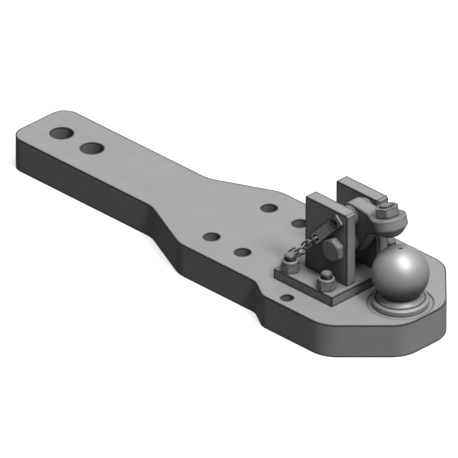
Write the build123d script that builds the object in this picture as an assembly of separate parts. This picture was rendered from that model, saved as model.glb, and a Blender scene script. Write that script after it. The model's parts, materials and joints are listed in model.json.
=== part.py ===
from build123d import *
import os
from math import asin, ceil, cos, radians, sin, sqrt, tan

# A drawbar plate with an 80 mm coupling ball and a pinned hold-down arm over the ball.
# Millimetres. The origin is on the axis of the rear shank hole, at the underside.
# +X points towards the ball, +Y across the plate, +Z up.

# Plate, lengths along X from the rear shank hole
plate_thickness = 50.0
shank_hole_diameter = 32.0
shank_hole_pitch = 60.0
shank_end_margin = 50.0
shank_width = 110.0
shank_corner_radius = 24.0
shoulder_start = 232.0
shoulder_length = 98.0
body_width = 200.0
shoulder_radius = 50.0
head_start = 479.0
head_taper_length = 33.0
head_width = 240.0
head_taper_radius = 25.0
nose_corner = 80.0
nose_radius = 50.0
body_hole_diameter = 22.0
body_hole_x = 351.0
body_hole_pitch = 60.0
body_hole_spacing = 112.0
ear_hole_diameter = 17.0
ear_hole_x = 542.0
ear_hole_edge_distance = 19.0

# Coupling ball, turned in one piece with its flange and spigot
ball_x = 660.0
ball_nose_margin = 50.0
ball_diameter = 80.0
ball_centre_height = 46.4
flange_diameter = 80.0
flange_height = 6.3
flare_rim_diameter = 67.4
flare_rim_height = 8.8
neck_diameter = 55.0
spot_face_diameter = 91.5
spot_face_depth = 1.0
centre_flat_diameter = 14.6
centre_drill_diameter = 4.0
centre_drill_depth = 10.0
spigot_diameter = 45.0
fixing_recess_diameter = 74.0
fixing_recess_depth = 22.0
fixing_screw_diameter = 20.0
fixing_screw_reach = 45.0
fixing_head_flats = 30.0
fixing_head_height = 12.5
fixing_washer_diameter = 66.0
fixing_washer_thickness = 6.0
fixing_screw_spare = 3.0
screw_end_chamfer = 2.0

# Bracket that carries the arm
base_length = 112.0
base_side_margin = 14.0
base_thickness = 15.0
base_rear_x = 491.6
cheek_length = 80.0
cheek_height = 110.0
cheek_thickness = 20.0
cheek_gap = 40.0
cheek_rear_x = 516.5
cheek_inner_chamfer = 4.0
cheek_top_bevel = 3.0

# Four bolts up through the plate, with all-metal lock nuts on top of the base
base_bolt_diameter = 16.0
base_bolt_hole_diameter = 17.5
base_bolt_rear_x = 509.1
base_bolt_pitch = 70.0
base_bolt_margin = 22.0
base_bolt_stand = 25.0
base_bolt_head_flats = 24.0
base_bolt_head_height = 10.0
base_counterbore_diameter = 34.0
base_counterbore_depth = 12.0
bolt_end_chamfer = 1.9
lock_nut_flats = 24.0
lock_nut_hex_height = 12.5
lock_nut_collar_diameter = 23.0
lock_nut_height = 17.0
lock_nut_lip = 2.5
rear_nut_turn = 2.0
front_nut_turn = -17.5

# Pivot bolt and the locking pin above it
pivot_x = 576.0
pivot_height = 68.0
pin_rise = 40.0
pivot_bolt_diameter = 20.0
pivot_head_flats = 30.0
pivot_head_height = 12.5
pivot_nut_height = 16.0
pivot_washer_diameter = 37.0
pivot_washer_thickness = 3.0
pivot_bolt_overrun = 5.0
pin_diameter = 16.0
pin_far_overrun = 6.0
pin_end_chamfer = 2.0

# Flat handle, plug welded on the pin's end
handle_thickness = 5.0
handle_width = 17.5
handle_above_pin = 12.0
handle_below_pin = 53.0
handle_slope = 47.0
handle_bend_at = 16.0
handle_bend = 7.0
handle_weld_hole_diameter = 13.0
handle_chain_hole_diameter = 8.0
handle_chain_hole_margin = 7.7

# Hold-down arm, one forging with a round head over the ball
arm_thickness = 24.4
arm_foot_radius = 17.5
arm_crown_radius = 18.0
arm_boss_diameter = 30.0
arm_top_slope = 6.0
arm_shoulder_x = 606.0
arm_front_angle = 61.0
arm_front_knee_height = 85.5
arm_front_radius = 30.0
arm_throat_angle = 35.0
arm_head_overlap = 1.0
arm_edge_radius = 1.2
arm_neck_radius = 30.0
head_lean = 15.0
head_x = 636.3
head_height = 126.0
head_diameter = 50.0
head_wall = 14.0
head_top_chamfer = 1.5
head_under_height = 11.0
head_under_diameter = 31.0

# Adjusting screw through the head
adjuster_diameter = 20.0
adjuster_stand = 16.0
adjuster_end_chamfer = 2.2
adjuster_nut_flats = 30.0
adjuster_nut_height = 10.0
adjuster_nut_turn = 12.0
pad_diameter = 26.0
pad_thickness = 6.0
pad_proud = 2.0
pad_chamfer = 1.0

# Chain from the handle to a tab under the far rear nut
link_wire = 3.0
link_length = 24.5
link_width = 12.0
tab_thickness = 3.0
tab_width = 18.0
tab_hole_diameter = 9.0
tab_reach = 25.0
tab_approach = 38.0
tab_link_rise = 2.5
chain_lie = 4.9
chain_landing_behind = 23.6
chain_sweep_radius = 36.0
chain_corner_radius = 20.0

# Clearances
running_gap = 0.08
side_play = 0.3
spigot_gap = 0.1
thread_gap = 0.05
washer_gap = 0.5
link_gap = 0.4
arm_lock_play = 0.75
arm_lock_margin = 0.1
rest_gap = 0.3

plate_top = plate_thickness
base_top = plate_top + base_thickness
pivot_z = plate_top + pivot_height
pin_z = pivot_z + pin_rise
cheek_outer = cheek_gap / 2 + cheek_thickness
handle_inner = cheek_outer + rest_gap
base_bolt_spacing = 2 * (cheek_outer + base_bolt_margin)
base_width = base_bolt_spacing + 2 * base_side_margin


def cylinder_along_y(x, z, y_from, y_to, diameter):
    """A round bar between two places across the plate."""
    plane = Plane(origin=(x, y_from, z), x_dir=(1, 0, 0), z_dir=(0, 1, 0))
    return extrude(plane * Circle(diameter / 2), y_to - y_from)


def cylinder_up(x, y, z_from, z_to, diameter):
    """A round bar between two heights."""
    return extrude(Plane((x, y, z_from)) * Circle(diameter / 2), z_to - z_from)


def turned(profile):
    """A solid turned about Z from (radius, height) points."""
    outline = Plane.XZ * make_face(Polyline(*profile, close=True))
    return revolve(outline, Axis.Z)


def chamfered_bar(diameter, length, end_chamfer):
    """A bar that stands on z = 0, with its upper end chamfered."""
    r = diameter / 2
    return turned([(0, 0), (r, 0), (r, length - end_chamfer), (r - end_chamfer, length), (0, length)])


def hexagon_block(flats, height):
    """A hexagon on z = 0 whose upper corners are turned off at 30 degrees."""
    corner = flats / sqrt(3)
    face_radius = 0.475 * flats
    drop = (corner - face_radius) * tan(radians(30))
    blank = turned([(0, 0), (corner, 0), (corner, height - drop), (face_radius, height), (0, height)])
    prism = extrude(RegularPolygon(flats / 2, 6, major_radius=False), height)
    return prism & blank


def hex_bolt(diameter, length, flats, head_height, end_chamfer):
    """A bolt with the underside of its head on z = 0 and its shank upwards."""
    head = Rot(180, 0, 0) * hexagon_block(flats, head_height)
    return head + chamfered_bar(diameter, length, end_chamfer)


def plain_nut(diameter, flats, height):
    """A nut on z = 0 with both faces turned."""
    lower = Pos(0, 0, height) * Rot(180, 0, 0) * hexagon_block(flats, height)
    bore = Cylinder(diameter / 2 + thread_gap, 3 * height)
    return (hexagon_block(flats, height) & lower) - bore


def ring(outer, inner, thickness):
    """A washer that lies on z = 0."""
    return extrude(Circle(outer / 2) - Circle(inner / 2), thickness)


def plate_outline():
    """The plate seen from above, with each corner's own radius."""
    nose_x = ball_x + ball_nose_margin
    near_side = [
        (-shank_end_margin, shank_width / 2, shank_corner_radius),
        (shoulder_start, shank_width / 2, shoulder_radius),
        (shoulder_start + shoulder_length, body_width / 2, shoulder_radius),
        (head_start, body_width / 2, head_taper_radius),
        (head_start + head_taper_length, head_width / 2, head_taper_radius),
        (nose_x - nose_corner, head_width / 2, nose_radius),
        (nose_x, head_width / 2 - nose_corner, nose_radius),
    ]
    near = [(x, -half) for x, half, r in near_side]
    far = [(x, half) for x, half, r in reversed(near_side)]
    radii = [r for x, half, r in near_side]
    return make_face(FilletPolyline(*near, *far, radius=radii + radii[::-1], close=True))


def base_bolt_places():
    """Where the four bracket bolts stand, as (name, x, y)."""
    places = []
    for row, x in (("rear", base_bolt_rear_x), ("front", base_bolt_rear_x + base_bolt_pitch)):
        for side, sign in (("near", -1), ("far", 1)):
            places.append((f"{row}_{side}", x, sign * base_bolt_spacing / 2))
    return places


def drawbar_plate():
    """The flame-cut plate with its holes, spot face and the recesses on its underside."""
    plate = extrude(plate_outline(), plate_thickness)
    for x in (0, shank_hole_pitch):
        plate -= cylinder_up(x, 0, 0, plate_top, shank_hole_diameter)
    for x in (body_hole_x, body_hole_x + body_hole_pitch):
        for side in (-1, 1):
            plate -= cylinder_up(x, side * body_hole_spacing / 2, 0, plate_top, body_hole_diameter)
    ear_y = head_width / 2 - ear_hole_edge_distance
    for side in (-1, 1):
        plate -= cylinder_up(ear_hole_x, side * ear_y, 0, plate_top, ear_hole_diameter)
    for name, x, y in base_bolt_places():
        plate -= cylinder_up(x, y, 0, plate_top, base_bolt_hole_diameter)
        plate -= cylinder_up(x, y, 0, base_counterbore_depth, base_counterbore_diameter)
    plate -= cylinder_up(ball_x, 0, plate_top - spot_face_depth, plate_top, spot_face_diameter)
    plate -= cylinder_up(ball_x, 0, 0, plate_top, spigot_diameter + 2 * spigot_gap)
    plate -= cylinder_up(ball_x, 0, 0, fixing_recess_depth, fixing_recess_diameter)
    return plate


def coupling_ball():
    """Ball, flared neck, flange and spigot, turned in one piece."""
    ball_r = ball_diameter / 2
    centre_z = plate_top + ball_centre_height
    neck_r = neck_diameter / 2
    neck_z = centre_z - sqrt(ball_r**2 - neck_r**2)
    seat_z = plate_top - spot_face_depth
    spigot_end = fixing_recess_depth + rest_gap
    flat_r = centre_flat_diameter / 2
    flat_z = centre_z + sqrt(ball_r**2 - flat_r**2)
    rim_r = flare_rim_diameter / 2
    rim_z = plate_top + flare_rim_height
    # The flare is an arc that leaves the neck upright and ends on the rim.
    flare_radius = ((rim_r - neck_r) ** 2 + (neck_z - rim_z) ** 2) / (2 * (rim_r - neck_r))
    flare_turn = asin((neck_z - rim_z) / flare_radius)
    flare_middle = (
        neck_r + flare_radius * (1 - cos(flare_turn / 2)),
        neck_z - flare_radius * sin(flare_turn / 2),
    )
    outline = [
        Polyline(
            (0, flat_z),
            (0, spigot_end),
            (spigot_diameter / 2, spigot_end),
            (spigot_diameter / 2, seat_z),
            (flange_diameter / 2, seat_z),
            (flange_diameter / 2, plate_top + flange_height),
            (rim_r, rim_z),
        ),
        ThreePointArc((rim_r, rim_z), flare_middle, (neck_r, neck_z)),
        ThreePointArc((neck_r, neck_z), (ball_r, centre_z), (flat_r, flat_z)),
        Line((flat_r, flat_z), (0, flat_z)),
    ]
    ball = revolve(Plane.XZ * make_face(Curve() + outline), Axis.Z)
    ball -= cylinder_up(0, 0, flat_z - centre_drill_depth, flat_z, centre_drill_diameter)
    tapping = fixing_screw_diameter + 2 * thread_gap
    ball -= cylinder_up(0, 0, spigot_end, fixing_recess_depth + fixing_screw_reach, tapping)
    return Pos(ball_x, 0, 0) * ball


def ball_retaining_washer():
    """Thick washer that pulls the spigot down, on the roof of the recess."""
    washer = ring(fixing_washer_diameter, fixing_screw_diameter + 2 * washer_gap, fixing_washer_thickness)
    return Pos(ball_x, 0, fixing_recess_depth - fixing_washer_thickness) * washer


def ball_retaining_screw():
    """Hexagon screw up into the ball, its head inside the recess."""
    under_head = fixing_recess_depth - fixing_washer_thickness
    length = fixing_washer_thickness + fixing_screw_reach - fixing_screw_spare
    screw = hex_bolt(fixing_screw_diameter, length, fixing_head_flats, fixing_head_height, screw_end_chamfer)
    return Pos(ball_x, 0, under_head) * screw


def bracket_base():
    """Flat plate under the cheeks."""
    corner = (base_rear_x, -base_width / 2, plate_top)
    base = extrude(Plane(corner) * Rectangle(base_length, base_width, align=Align.MIN), base_thickness)
    for name, x, y in base_bolt_places():
        base -= cylinder_up(x, y, plate_top, base_top, base_bolt_hole_diameter)
    return base


def cheek(side):
    """One upright of the bracket; side is -1 near and 1 far."""
    outline = Polyline(
        (0, cheek_gap / 2),
        (cheek_length - cheek_inner_chamfer, cheek_gap / 2),
        (cheek_length, cheek_gap / 2 + cheek_inner_chamfer),
        (cheek_length, cheek_outer),
        (0, cheek_outer),
        close=True,
    )
    upright = extrude(make_face(outline), cheek_height)
    bevel = Polyline(
        (cheek_length - cheek_top_bevel, cheek_height),
        (cheek_length, cheek_height),
        (cheek_length, cheek_height - cheek_top_bevel),
        close=True,
    )
    upright -= extrude(Plane.XZ * make_face(bevel), -2 * cheek_outer)
    upright = Pos(cheek_rear_x, 0, base_top) * upright
    upright -= cylinder_along_y(pivot_x, pivot_z, 0, 2 * cheek_outer, pivot_bolt_diameter + 2 * running_gap)
    upright -= cylinder_along_y(pivot_x, pin_z, 0, 2 * cheek_outer, pin_diameter + 2 * running_gap)
    return upright if side > 0 else mirror(upright, Plane.XZ)


def base_bolt(x, y):
    """Bolt with its head in the counterbore under the plate."""
    length = base_top + base_bolt_stand - base_counterbore_depth
    bolt = hex_bolt(base_bolt_diameter, length, base_bolt_head_flats, base_bolt_head_height, bolt_end_chamfer)
    return Pos(x, y, base_counterbore_depth) * bolt


def lock_nut(x, y, seat, turn):
    """Hexagon nut with a round collar turned in at its top."""
    collar_r = lock_nut_collar_diameter / 2
    collar = turned([
        (0, 0),
        (collar_r, 0),
        (collar_r, lock_nut_height - lock_nut_lip),
        (collar_r - lock_nut_lip, lock_nut_height),
        (0, lock_nut_height),
    ])
    nut = hexagon_block(lock_nut_flats, lock_nut_hex_height) + collar
    nut -= Cylinder(base_bolt_diameter / 2 + thread_gap, 3 * lock_nut_height)
    return Pos(x, y, seat) * Rot(0, 0, turn) * nut


def pivot_bolt():
    """Bolt across both cheeks, its head on the near one with two flats upright."""
    length = 2 * cheek_outer + pivot_washer_thickness + pivot_nut_height + pivot_bolt_overrun
    bolt = hex_bolt(pivot_bolt_diameter, length, pivot_head_flats, pivot_head_height, screw_end_chamfer)
    return Pos(pivot_x, -cheek_outer, pivot_z) * Rot(-90, 0, 0) * Rot(0, 0, 30) * bolt


def pivot_washer():
    """Washer on the far cheek."""
    washer = ring(pivot_washer_diameter, pivot_bolt_diameter + 2 * washer_gap, pivot_washer_thickness)
    return Pos(pivot_x, cheek_outer, pivot_z) * Rot(-90, 0, 0) * washer


def pivot_nut():
    """Nut on the washer."""
    nut = plain_nut(pivot_bolt_diameter, pivot_head_flats, pivot_nut_height)
    seat_y = cheek_outer + pivot_washer_thickness
    return Pos(pivot_x, seat_y, pivot_z) * Rot(-90, 0, 0) * Rot(0, 0, 30) * nut


def locking_pin():
    """Round pin from the handle through cheek, arm and cheek."""
    length = handle_inner + cheek_outer + pin_far_overrun
    pin = chamfered_bar(pin_diameter, length, pin_end_chamfer)
    return Pos(pivot_x, -handle_inner, pin_z) * Rot(-90, 0, 0) * pin


def handle_plane():
    """Plane of the handle's edge view: x down along the bar, y outwards from the cheek."""
    along = (-cos(radians(handle_slope)), 0, -sin(radians(handle_slope)))
    across = (-sin(radians(handle_slope)), 0, cos(radians(handle_slope)))
    return Plane(origin=(pivot_x, -handle_inner, pin_z), x_dir=along, z_dir=across)


def bent_point(distance, height):
    """A point of the handle's edge view, past the bend, along and off its inner face."""
    bend = radians(handle_bend)
    past = distance - handle_bend_at
    return (
        handle_bend_at + past * cos(bend) - height * sin(bend),
        past * sin(bend) + height * cos(bend),
    )


def pin_handle():
    """Flat bar, bent outwards below the pin, with a weld hole and a chain hole."""
    half_turn = tan(radians(handle_bend / 2))
    outline = Polyline(
        (-handle_above_pin, 0),
        (handle_bend_at, 0),
        bent_point(handle_below_pin, 0),
        bent_point(handle_below_pin, handle_thickness),
        (handle_bend_at - handle_thickness * half_turn, handle_thickness),
        (-handle_above_pin, handle_thickness),
        close=True,
    )
    bar = extrude(handle_plane() * make_face(outline), handle_width / 2, both=True)
    bar -= cylinder_along_y(pivot_x, pin_z, -2 * cheek_outer, 0, handle_weld_hole_diameter)
    frame = handle_plane()
    at_x, at_y = bent_point(handle_below_pin - handle_chain_hole_margin, handle_thickness / 2)
    outwards = frame.y_dir.rotate(Axis((0, 0, 0), frame.z_dir), handle_bend)
    centre = frame.from_local_coords((at_x, at_y, 0))
    hole = Plane(origin=centre, z_dir=outwards) * Circle(handle_chain_hole_diameter / 2)
    return bar - extrude(hole, 2 * handle_thickness, both=True)


def head_frame():
    """Plane of the head's upper rim, leaning back over the arm."""
    lean = radians(head_lean)
    return Plane(
        origin=(head_x, 0, plate_top + head_height),
        x_dir=(cos(lean), 0, sin(lean)),
        z_dir=(-sin(lean), 0, cos(lean)),
    )


def head_point(forward, up):
    """A point of the arm's side view, given from the head's upper rim."""
    point = head_frame().from_local_coords((forward, 0, up))
    return (point.X, point.Z)


def arm_side_view():
    """The arm seen along the pivot, from the foot to the middle of the head."""
    slope = radians(90 - arm_top_slope)
    crown = (pivot_x + arm_crown_radius * cos(slope), pin_z + arm_crown_radius * sin(slope))
    shoulder = (arm_shoulder_x, crown[1] - (arm_shoulder_x - crown[0]) * tan(radians(arm_top_slope)))
    front = radians(arm_front_angle)
    foot = (pivot_x + arm_foot_radius * sin(front), pivot_z - arm_foot_radius * cos(front))
    knee_z = plate_top + arm_front_knee_height
    knee = (foot[0] + (knee_z - foot[1]) / tan(front), knee_z)
    turn = front - radians(arm_throat_angle)
    throat = (
        knee[0] + arm_front_radius * (sin(front) - sin(front - turn)),
        knee[1] + arm_front_radius * (cos(front - turn) - cos(front)),
    )
    throat_middle = (
        knee[0] + arm_front_radius * (sin(front) - sin(front - turn / 2)),
        knee[1] + arm_front_radius * (cos(front - turn / 2) - cos(front)),
    )
    crown_middle = (pivot_x - arm_crown_radius * sin(radians(45)), pin_z + arm_crown_radius * sin(radians(45)))
    foot_bottom = (pivot_x, pivot_z - arm_foot_radius)
    outline = [
        Line((pivot_x - arm_foot_radius, pivot_z), (pivot_x - arm_crown_radius, pin_z)),
        ThreePointArc((pivot_x - arm_crown_radius, pin_z), crown_middle, crown),
        Polyline(
            crown,
            shoulder,
            head_point(arm_head_overlap - head_diameter / 2, head_top_chamfer / 2),
            head_point(0, head_top_chamfer / 2),
            head_point(0, -head_wall - head_under_height / 2),
            throat,
        ),
        ThreePointArc(throat, throat_middle, knee),
        Line(knee, foot),
        ThreePointArc(foot, foot_bottom, (pivot_x - arm_foot_radius, pivot_z)),
    ]
    return make_face(Curve() + outline)


def arm_plan_view():
    """The arm seen from above: parallel sides that flare into the round head."""
    half = arm_thickness / 2
    head_r = head_diameter / 2
    # Each flare is an arc outside the side, touching it and the round of the head.
    centre_y = half + arm_neck_radius
    reach = sqrt((head_r + arm_neck_radius) ** 2 - centre_y**2)
    centre_x = head_x - reach
    share = arm_neck_radius / (head_r + arm_neck_radius)
    touch = (centre_x + reach * share, centre_y * (1 - share))
    touch_turn = asin(reach / (head_r + arm_neck_radius))
    middle = (
        centre_x + arm_neck_radius * sin(touch_turn / 2),
        centre_y - arm_neck_radius * cos(touch_turn / 2),
    )
    rear_x = pivot_x - 2 * arm_crown_radius
    front_x = head_x + head_r / 2
    near = [
        Line((rear_x, half), (centre_x, half)),
        ThreePointArc((centre_x, half), middle, touch),
        Line(touch, (front_x, touch[1])),
    ]
    far = [mirror(edge, Plane.XZ) for edge in near]
    ends = [Line((rear_x, half), (rear_x, -half)), Line((front_x, touch[1]), (front_x, -touch[1]))]
    return make_face(Curve() + near + far + ends)


def hold_down_arm():
    """Forged arm: web, two bosses and the head with its screw hole."""
    web = extrude(Plane.XZ * arm_side_view(), head_diameter, both=True)
    web &= extrude(arm_plan_view(), 2 * pin_z)
    flat_side = arm_thickness / 2 - arm_edge_radius
    long_edges = web.edges().filter_by(
        lambda e: abs(e.center().Y) > flat_side and e.center().X < arm_shoulder_x
    )
    web = fillet(long_edges, arm_edge_radius)
    head_r = head_diameter / 2
    head = turned([
        (0, head_top_chamfer),
        (head_r - head_top_chamfer, head_top_chamfer),
        (head_r, 0),
        (head_r, -head_wall),
        (head_under_diameter / 2, -head_wall - head_under_height),
        (0, -head_wall - head_under_height),
    ])
    arm = web + head_frame().location * head
    boss_end = cheek_gap / 2 - side_play
    for z in (pivot_z, pin_z):
        arm += cylinder_along_y(pivot_x, z, -boss_end, boss_end, arm_boss_diameter)
    arm -= cylinder_along_y(pivot_x, pivot_z, -cheek_gap, cheek_gap, pivot_bolt_diameter + 2 * running_gap)
    # The pin's hole is wider than the pin, and rests forward of its axis.
    lock_x = pivot_x + arm_lock_play - arm_lock_margin
    arm -= cylinder_along_y(lock_x, pin_z, -cheek_gap, cheek_gap, pin_diameter + 2 * arm_lock_play)
    depth = head_wall + head_under_height
    tapping = Cylinder(adjuster_diameter / 2 + thread_gap, 4 * depth)
    seat = pad_thickness - pad_proud
    pad_room = Pos(0, 0, -depth) * Cylinder(pad_diameter / 2 + rest_gap, 2 * seat)
    return arm - head_frame().location * (tapping + pad_room)


def adjusting_screw():
    """Threaded stud through the head, down on to its pad."""
    pad_top = -head_wall - head_under_height + pad_thickness - pad_proud
    length = head_top_chamfer + adjuster_stand - pad_top
    stud = Pos(0, 0, pad_top) * chamfered_bar(adjuster_diameter, length, adjuster_end_chamfer)
    return head_frame().location * stud


def adjusting_lock_nut():
    """Thin nut on the head's upper face."""
    nut = plain_nut(adjuster_diameter, adjuster_nut_flats, adjuster_nut_height)
    return head_frame().location * Pos(0, 0, head_top_chamfer) * Rot(0, 0, adjuster_nut_turn) * nut


def pressure_pad():
    """Round pad under the screw, that bears on the coupling cup."""
    low = -head_wall - head_under_height - pad_proud
    r = pad_diameter / 2
    pad = turned([(0, 0), (r - pad_chamfer, 0), (r, pad_chamfer), (r, pad_thickness), (0, pad_thickness)])
    return head_frame().location * Pos(0, 0, low) * pad


def tab_hole_centre():
    """Middle of the hole that the chain's last link passes through."""
    return (base_bolt_rear_x - tab_reach, base_bolt_spacing / 2, base_top + tab_thickness / 2)


def anchor_tab():
    """Strip under the far rear nut, its free end past the base's rear edge."""
    x, y = base_bolt_rear_x, base_bolt_spacing / 2
    blank = Pos(x - tab_reach / 2, y) * SlotCenterToCenter(tab_reach, tab_width)
    blank -= Pos(x, y) * Circle(base_bolt_hole_diameter / 2)
    blank -= Pos(x - tab_reach, y) * Circle(tab_hole_diameter / 2)
    return extrude(Pos(0, 0, base_top) * blank, tab_thickness)


def chain_route():
    """The chain's line: down from the handle, round the base's corner, along the plate, up to the tab."""
    frame = handle_plane()
    at_x, at_y = bent_point(handle_below_pin - handle_chain_hole_margin, handle_thickness / 2)
    start = frame.from_local_coords((at_x, at_y, 0))
    past_x, past_y = bent_point(handle_below_pin + link_length / 2, handle_thickness / 2)
    past = frame.from_local_coords((past_x, past_y, 0))
    lying = plate_top + chain_lie
    # The lane between the near cheek and the near rear bolt.
    lane_y = -(cheek_outer + (base_bolt_margin - base_bolt_diameter / 2) / 2)
    landing = (base_rear_x - chain_landing_behind, lane_y, lying)
    share = (past.X - base_bolt_rear_x) / (past.X - landing[0])
    beside_bolt = (base_bolt_rear_x, lane_y, past.Z + share * (lying - past.Z))
    tab_x, tab_y, tab_z = tab_hole_centre()
    before_tab = (tab_x, tab_y - tab_approach, lying)
    points = [start, past, beside_bolt, landing, before_tab, (tab_x, tab_y, tab_z + tab_link_rise)]
    corner, sweep_round = chain_corner_radius, chain_sweep_radius
    return FilletPolyline(*points, radius=[corner, corner, sweep_round, corner])


def chain_joints():
    """Points where neighbouring links meet, at most one pitch apart along the route."""
    route = chain_route()
    inner_length = link_length - 2 * link_wire
    pitch = inner_length - link_gap
    count = ceil(route.length / pitch)
    step = route.length / count
    return [route.position_at(i * step, position_mode=PositionMode.LENGTH) for i in range(count + 1)]


def link_plane(start, end, roll):
    """Plane of a link between two meeting points, turned about the chain's line by roll."""
    along = (end - start).normalized()
    across = handle_plane().z_dir
    normal = (across - along * across.dot(along)).normalized()
    return Plane(origin=(start + end) * 0.5, x_dir=along, z_dir=normal.rotate(Axis((0, 0, 0), along), roll))


def link_rolls(joints):
    """A quarter turn from link to link; the last stands upright in the tab, the one before eases."""
    rolls = [90.0 * (i % 2) for i in range(len(joints) - 1)]
    last = link_plane(joints[-2], joints[-1], rolls[-1])
    lean = last.z_dir.get_signed_angle(Vector(1, 0, 0) - last.x_dir * last.x_dir.X, last.x_dir)
    lean = (lean + 90) % 180 - 90
    rolls[-1] += lean
    rolls[-2] += lean / 2
    return rolls


def chain_link(start, end, roll):
    """One welded link from one meeting point to the next."""
    straight = link_length - link_width
    path = link_plane(start, end, roll) * SlotCenterToCenter(straight, link_width - link_wire).wire()
    section = Plane(origin=path @ 0, z_dir=path % 0) * Circle(link_wire / 2)
    return sweep(section, path)


nodes = {
    "drawbar_plate": drawbar_plate(),
    "coupling_ball": coupling_ball(),
    "ball_retaining_washer": ball_retaining_washer(),
    "ball_retaining_screw": ball_retaining_screw(),
    "bracket_base": bracket_base(),
    "cheek_near": cheek(-1),
    "cheek_far": cheek(1),
    "pivot_bolt": pivot_bolt(),
    "pivot_washer": pivot_washer(),
    "pivot_nut": pivot_nut(),
    "locking_pin": locking_pin(),
    "pin_handle": pin_handle(),
    "hold_down_arm": hold_down_arm(),
    "adjusting_screw": adjusting_screw(),
    "adjusting_lock_nut": adjusting_lock_nut(),
    "pressure_pad": pressure_pad(),
}
for name, x, y in base_bolt_places():
    seat = base_top + (tab_thickness if name == "rear_far" else 0)
    turn = rear_nut_turn if name.startswith("rear") else front_nut_turn
    nodes[f"base_bolt_{name}"] = base_bolt(x, y)
    nodes[f"lock_nut_{name}"] = lock_nut(x, y, seat, turn)
nodes["anchor_tab"] = anchor_tab()
joints = chain_joints()
for number, roll in enumerate(link_rolls(joints), start=1):
    nodes[f"chain_link_{number:02d}"] = chain_link(joints[number - 1], joints[number], roll)

os.makedirs("parts", exist_ok=True)
for name, solid in nodes.items():
    solid.label = name
    export_step(solid, f"parts/{name}.step")
print(len(nodes), "nodes")
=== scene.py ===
# %% [markdown]
# A drawbar plate with a coupling ball
#
# This scene dresses a heavy drawbar plate: thick steel plate, a turned coupling ball, a bracket
# whose forged arm holds a trailer's coupling down on the ball, and a chain that keeps the locking
# pin from being lost. The solids come from the frame. Plate and bar keep their solids' shape. The
# ball, the threads, the hexagons, the forging's soft edges, the weld and the chain are made here,
# and every piece gets its finish.

# %% Load the frame
import json
import bpy
import numpy as np
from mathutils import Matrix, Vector


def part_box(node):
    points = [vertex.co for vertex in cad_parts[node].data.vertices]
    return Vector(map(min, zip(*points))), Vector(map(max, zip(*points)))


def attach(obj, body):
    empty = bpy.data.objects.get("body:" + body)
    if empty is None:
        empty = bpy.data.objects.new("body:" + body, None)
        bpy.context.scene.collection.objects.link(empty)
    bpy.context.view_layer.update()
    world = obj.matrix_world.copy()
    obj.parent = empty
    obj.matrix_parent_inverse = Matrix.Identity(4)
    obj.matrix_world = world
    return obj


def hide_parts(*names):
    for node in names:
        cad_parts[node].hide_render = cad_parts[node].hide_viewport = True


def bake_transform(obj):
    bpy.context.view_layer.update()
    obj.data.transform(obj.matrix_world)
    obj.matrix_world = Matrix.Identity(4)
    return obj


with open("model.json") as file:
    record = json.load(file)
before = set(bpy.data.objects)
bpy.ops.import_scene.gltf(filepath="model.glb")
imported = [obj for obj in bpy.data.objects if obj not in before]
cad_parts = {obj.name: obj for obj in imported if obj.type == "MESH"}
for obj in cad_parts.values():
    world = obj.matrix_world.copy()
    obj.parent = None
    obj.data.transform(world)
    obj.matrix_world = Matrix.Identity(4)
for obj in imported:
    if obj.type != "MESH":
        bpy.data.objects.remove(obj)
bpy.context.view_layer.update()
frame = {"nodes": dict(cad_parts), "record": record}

# %% [markdown]
# Where things are
#
# A piece that replaces a solid has to sit where the solid is. Its place is read from the solid:
# the box gives ends and upright axes, the principal axes give the lie of what leans, and the
# points farthest from an axis give the corners of a hexagon.

# %% Measures read from the frame
MM = 0.001


def centre_of(node):
    """Middle of a node's box, in metres."""
    low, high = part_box(node)
    return (np.array(low) + np.array(high)) / 2


def corners_of(node):
    """All corners of a node's triangles, in metres."""
    mesh = frame["nodes"][node].data
    corners = np.empty(len(mesh.vertices) * 3, dtype=np.float32)
    mesh.vertices.foreach_get("co", corners)
    return corners.reshape(-1, 3).astype(float)


def lie_of(node):
    """Centre and principal axes of a node's surface, thinnest first; each triangle counts by its area."""
    mesh = frame["nodes"][node].data
    count = len(mesh.polygons)
    order = np.empty(count * 3, dtype=np.int32)
    mesh.loops.foreach_get("vertex_index", order)
    triangle = corners_of(node)[order.reshape(-1, 3)]
    edge_a, edge_b = triangle[:, 1] - triangle[:, 0], triangle[:, 2] - triangle[:, 0]
    area = np.linalg.norm(np.cross(edge_a, edge_b), axis=1)
    middle = triangle.mean(axis=1)
    centre = (middle * area[:, None]).sum(axis=0) / area.sum()
    spread = (middle - centre).T @ ((middle - centre) * area[:, None]) / area.sum()
    return centre, np.linalg.eigh(spread)[1].T


def axes_from(up, start=(1, 0, 0)):
    """Three unit rows: local x near start, local y, and local z along up."""
    z = np.array(up, float) / np.linalg.norm(up)
    x = np.array(start, float) - z * (np.array(start, float) @ z)
    x = x / np.linalg.norm(x)
    return np.stack([x, np.cross(z, x), z])


def hexagon_turn(node, origin, up):
    """Turn of a solid's hexagon about its axis: the points farthest from the axis are its corners."""
    local = (corners_of(node) - np.array(origin)) @ axes_from(up).T
    reach = np.hypot(local[:, 0], local[:, 1])
    corner = local[reach.argmax()]
    return np.arctan2(corner[1], corner[0]) - np.radians(30)


plate_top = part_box("drawbar_plate")[1][2]
ball_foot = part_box("coupling_ball")[0][2]
ball_axis = centre_of("coupling_ball")[:2]
print("plate top", round(plate_top, 4), "ball axis", ball_axis.round(4))

# %% [markdown]
# One way to make every surface
#
# Each new piece is a grid: one parameter runs round it and the other along its profile. The
# points are worked out as whole arrays, and one helper turns a grid into a mesh. A grid whose
# rows close on themselves has no seam, and a profile that starts and ends on the axis closes
# the poles with one vertex each, so the shading stays clean.

# %% Grid to mesh
CRISP = np.radians(18)


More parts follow.
